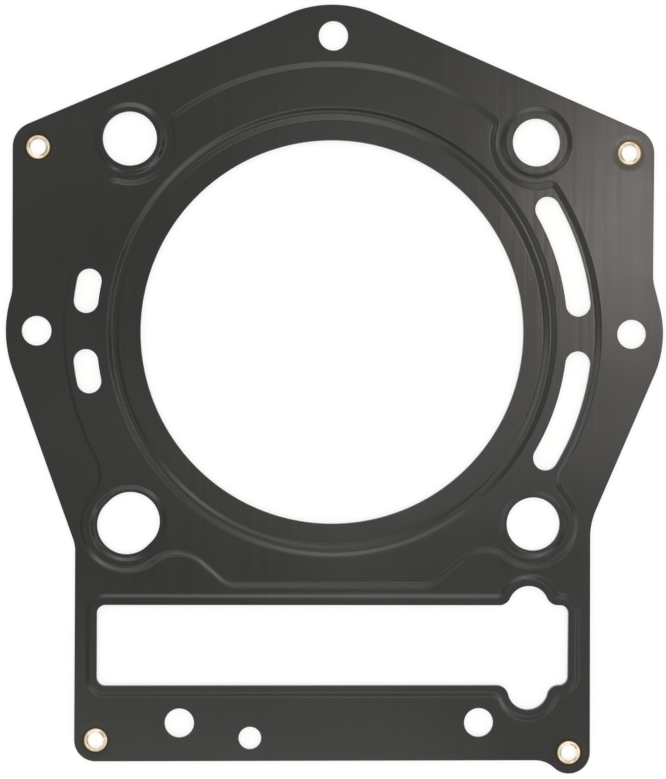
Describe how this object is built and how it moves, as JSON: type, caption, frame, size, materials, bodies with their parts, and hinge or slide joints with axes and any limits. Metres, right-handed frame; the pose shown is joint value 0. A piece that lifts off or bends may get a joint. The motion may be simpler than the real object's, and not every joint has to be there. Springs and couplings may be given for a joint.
{
  "type": "cylinder head gasket",
  "caption": "Multi-layer steel head gasket with a large cylinder bore, embossed sealing beads, curved coolant slots, a chain tunnel and rolled eyelets that hold the sheets together.",
  "frame": {"origin": "on the axis of the cylinder bore, halfway through the gasket's thickness", "axes": "+Z along the bore axis towards the cylinder head, +Y in the gasket's plane away from the chain tunnel, +X towards the side with the long curved coolant slots"},
  "size_m": [0.1596, 0.1869, 0.0014],
  "materials": {
    "coated_steel": "satin elastomer coating",
    "brass": "polished"
  },
  "bodies": {
    "root": {"upper_layer": "coated_steel", "carrier_layer": "coated_steel", "lower_layer": "coated_steel", "eyelet_upper_left": "brass", "eyelet_upper_right": "brass", "eyelet_lower_left": "brass", "eyelet_lower_right": "brass"}
  },
  "joints": []
}
